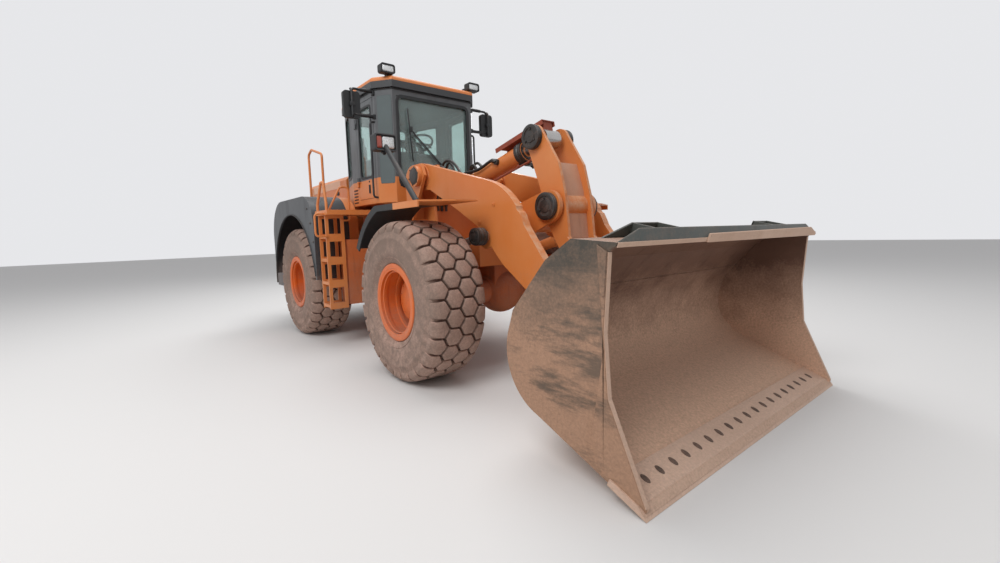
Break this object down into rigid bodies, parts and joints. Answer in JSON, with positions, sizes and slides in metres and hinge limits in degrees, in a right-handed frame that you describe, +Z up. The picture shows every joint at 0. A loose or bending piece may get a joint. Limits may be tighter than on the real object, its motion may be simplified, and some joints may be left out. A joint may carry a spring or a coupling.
{
  "type": "wheel loader",
  "caption": "Articulated wheel loader with a glazed cab, rear engine hood, single bellcrank boom and a wide bucket with its edge on the ground.",
  "frame": {"origin": "on the ground under the middle of the machine's bounding box", "axes": "+X forward to the bucket's edge, +Y to the machine's left, +Z up; both frames in line"},
  "size_m": [8.0002, 2.96, 3.5503],
  "materials": {
    "orange_paint": "faded orange paint, satin, dusty",
    "rim_paint": "orange paint, satin",
    "frame_paint": "dark grey paint, matt and dusty",
    "pillar_paint": "dark grey paint, satin",
    "weight_iron": "painted cast iron, matt",
    "tyre_rubber": "black rubber under dust",
    "bucket_steel": "worn dark paint and bare steel",
    "edge_steel": "ground steel, scratched",
    "pin_steel": "oiled steel",
    "rod_chrome": "polished hard chrome",
    "window_glass": "clear tinted glass",
    "black_plastic": "matt black",
    "seat_fabric": "black cloth"
  },
  "bodies": {
    "rear_frame": {"rear_chassis": "orange_paint", "counterweight": "weight_iron", "drivetrain": "frame_paint", "rear_axle": "frame_paint", "hood_shell": "orange_paint", "cab_shell": "pillar_paint", "cab_roof": "orange_paint", "cab_glass": "window_glass", "operator_seat": "seat_fabric", "steering_console": "black_plastic", "deck_ladders": "orange_paint", "side_tanks": "frame_paint", "rear_fenders": "orange_paint", "handrails": "orange_paint", "exhaust_intake": "frame_paint", "lamps": "black_plastic", "mirrors": "black_plastic"},
    "engine_door_left": {"engine_door_left": "orange_paint"},
    "engine_door_right": {"engine_door_right": "orange_paint"},
    "grille_door": {"grille_door": "pillar_paint"},
    "cab_door_left": {"cab_door_left": "orange_paint", "door_glass_left": "window_glass"},
    "cab_door_right": {"cab_door_right": "orange_paint", "door_glass_right": "window_glass"},
    "front_frame": {"front_chassis": "orange_paint", "front_axle": "frame_paint", "mudguards": "black_plastic", "front_wings": "orange_paint", "headlamps": "black_plastic"},
    "boom": {"boom_arms": "orange_paint"},
    "bucket_pins": {"bucket_pins": "pin_steel"},
    "bucket": {"bucket_shell": "bucket_steel", "cutting_edge": "edge_steel"},
    "bellcrank_pin": {"bellcrank_pin": "pin_steel"},
    "bellcrank": {"bellcrank": "orange_paint"},
    "link_pin": {"link_pin": "pin_steel"},
    "bucket_link": {"bucket_link": "orange_paint"},
    "tilt_barrel": {"tilt_barrel": "orange_paint"},
    "tilt_rod": {"tilt_rod": "rod_chrome", "rod_guard": "frame_paint"},
    "lift_barrels": {"lift_barrels": "orange_paint"},
    "lift_rods": {"lift_rods": "rod_chrome"},
    "wheel_front_left": {"wheel_front_left": "rim_paint", "tyre_front_left": "tyre_rubber"},
    "wheel_front_right": {"wheel_front_right": "rim_paint", "tyre_front_right": "tyre_rubber"},
    "wheel_rear_left": {"wheel_rear_left": "rim_paint", "tyre_rear_left": "tyre_rubber"},
    "wheel_rear_right": {"wheel_rear_right": "rim_paint", "tyre_rear_right": "tyre_rubber"},
    "steer_barrel_left": {"steer_barrel_left": "orange_paint"},
    "steer_rod_left": {"steer_rod_left": "rod_chrome"},
    "steer_barrel_right": {"steer_barrel_right": "orange_paint"},
    "steer_rod_right": {"steer_rod_right": "rod_chrome"}
  },
  "joints": [
    {"name": "steer", "type": "hinge", "parent": "rear_frame", "child": "front_frame", "pos_m": [-0.5, 0, 0.95], "axis": [0, 0, 1], "range_deg": [-40, 40]},
    {"name": "wheel_front_left_spin", "type": "hinge", "parent": "front_frame", "child": "wheel_front_left", "pos_m": [1.1, 1.075, 0.8], "axis": [0, 1, 0], "continuous": true},
    {"name": "wheel_front_right_spin", "type": "hinge", "parent": "front_frame", "child": "wheel_front_right", "pos_m": [1.1, -1.075, 0.8], "axis": [0, 1, 0], "continuous": true},
    {"name": "wheel_rear_left_spin", "type": "hinge", "parent": "rear_frame", "child": "wheel_rear_left", "pos_m": [-2.1, 1.075, 0.8], "axis": [0, 1, 0], "continuous": true},
    {"name": "wheel_rear_right_spin", "type": "hinge", "parent": "rear_frame", "child": "wheel_rear_right", "pos_m": [-2.1, -1.075, 0.8], "axis": [0, 1, 0], "continuous": true},
    {"name": "boom_lift", "type": "hinge", "parent": "front_frame", "child": "boom", "pos_m": [0.5, 0, 2.12], "axis": [0, -1, 0], "range_deg": [-14, 79]},
    {"name": "bucket_pins_turn", "type": "hinge", "parent": "boom", "child": "bucket_pins", "pos_m": [2.76, 0, 0.78], "axis": [0, -1, 0], "range_deg": [-81.1, 14.54]},
    {"name": "bucket_tilt", "type": "hinge", "parent": "bucket_pins", "child": "bucket", "pos_m": [2.76, 0, 0.78], "axis": [0, 1, 0], "range_deg": [-62, 28]},
    {"name": "bellcrank_pin_turn", "type": "hinge", "parent": "boom", "child": "bellcrank_pin", "pos_m": [2.16, 0, 1.685], "axis": [0, -1, 0], "range_deg": [-1.65, 8.36]},
    {"name": "bellcrank_swing", "type": "hinge", "parent": "bellcrank_pin", "child": "bellcrank", "pos_m": [2.16, 0, 1.685], "axis": [0, 1, 0], "range_deg": [-4.92, 10.65]},
    {"name": "link_pin_turn", "type": "hinge", "parent": "bellcrank", "child": "link_pin", "pos_m": [2.57, 0, 0.816], "axis": [0, -1, 0], "range_deg": [-75.31, 13.51]},
    {"name": "link_swing", "type": "hinge", "parent": "link_pin", "child": "bucket_link", "pos_m": [2.57, 0, 0.816], "axis": [0, 1, 0], "range_deg": [-54.31, 24.64]},
    {"name": "tilt_barrel_pitch", "type": "hinge", "parent": "front_frame", "child": "tilt_barrel", "pos_m": [0.536, 0, 2.034], "axis": [0, -1, 0], "range_deg": [-14.02, 78.19]},
    {"name": "tilt_rod_slide", "type": "slide", "parent": "tilt_barrel", "child": "tilt_rod", "axis": [0.9734, 0, 0.2293], "range_m": [-0.0602, 0.13088]},
    {"name": "lift_barrel_pitch", "type": "hinge", "parent": "front_frame", "child": "lift_barrels", "pos_m": [0.1, 0, 1], "axis": [0, -1, 0], "range_deg": [-8, 44.2]},
    {"name": "lift_rod_slide", "type": "slide", "parent": "lift_barrels", "child": "lift_rods", "axis": [0.9652, 0, 0.2615], "range_m": [-0.17304, 0.96717]},
    {"name": "steer_barrel_left_yaw", "type": "hinge", "parent": "rear_frame", "child": "steer_barrel_left", "pos_m": [-1.12, 0.47, 0.95], "axis": [0, 0, 1], "range_deg": [-17.95, 17.95]},
    {"name": "steer_rod_left_slide", "type": "slide", "parent": "steer_barrel_left", "child": "steer_rod_left", "axis": [0.9971, -0.0767, 0], "range_m": [-0.28823, 0.28823]},
    {"name": "steer_barrel_right_yaw", "type": "hinge", "parent": "rear_frame", "child": "steer_barrel_right", "pos_m": [-1.12, -0.47, 0.95], "axis": [0, 0, 1], "range_deg": [-17.95, 17.95]},
    {"name": "steer_rod_right_slide", "type": "slide", "parent": "steer_barrel_right", "child": "steer_rod_right", "axis": [0.9971, 0.0767, 0], "range_m": [-0.28823, 0.28823]},
    {"name": "cab_door_left_open", "type": "hinge", "parent": "rear_frame", "child": "cab_door_left", "pos_m": [-0.977, 0.768, 2.5], "axis": [0, 0, 1], "range_deg": [0, 90]},
    {"name": "cab_door_right_open", "type": "hinge", "parent": "rear_frame", "child": "cab_door_right", "pos_m": [-0.977, -0.768, 2.5], "axis": [0, 0, -1], "range_deg": [0, 90]},
    {"name": "engine_door_left_open", "type": "hinge", "parent": "rear_frame", "child": "engine_door_left", "pos_m": [-2.85, 0.143, 2.425], "axis": [1, 0, 0], "range_deg": [0, 60]},
    {"name": "engine_door_right_open", "type": "hinge", "parent": "rear_frame", "child": "engine_door_right", "pos_m": [-2.85, -0.143, 2.425], "axis": [-1, 0, 0], "range_deg": [0, 60]},
    {"name": "grille_door_open", "type": "hinge", "parent": "rear_frame", "child": "grille_door", "pos_m": [-3.768, 0.445, 1.95], "axis": [0, 0, -1], "range_deg": [0, 100]}
  ],
  "couplings": [
    {"joint": "bucket_pins_turn", "follows": "boom_lift", "ratio": -1.004},
    {"joint": "bellcrank_pin_turn", "follows": "boom_lift", "ratio": 0.1013},
    {"joint": "bellcrank_swing", "follows": "bucket_tilt", "ratio": -0.1653},
    {"joint": "link_pin_turn", "follows": "boom_lift", "ratio": -0.9321},
    {"joint": "link_swing", "follows": "bucket_tilt", "ratio": 0.8557},
    {"joint": "tilt_barrel_pitch", "follows": "boom_lift", "ratio": 0.9678},
    {"joint": "tilt_rod_slide", "follows": "bucket_tilt", "m_per_rad": -0.1191},
    {"joint": "lift_barrel_pitch", "follows": "boom_lift", "ratio": 0.546},
    {"joint": "lift_rod_slide", "follows": "boom_lift", "m_per_rad": 0.7},
    {"joint": "steer_barrel_left_yaw", "follows": "steer", "ratio": 0.435},
    {"joint": "steer_rod_left_slide", "follows": "steer", "m_per_rad": -0.41},
    {"joint": "steer_barrel_right_yaw", "follows": "steer", "ratio": 0.435},
    {"joint": "steer_rod_right_slide", "follows": "steer", "m_per_rad": 0.41}
  ]
}
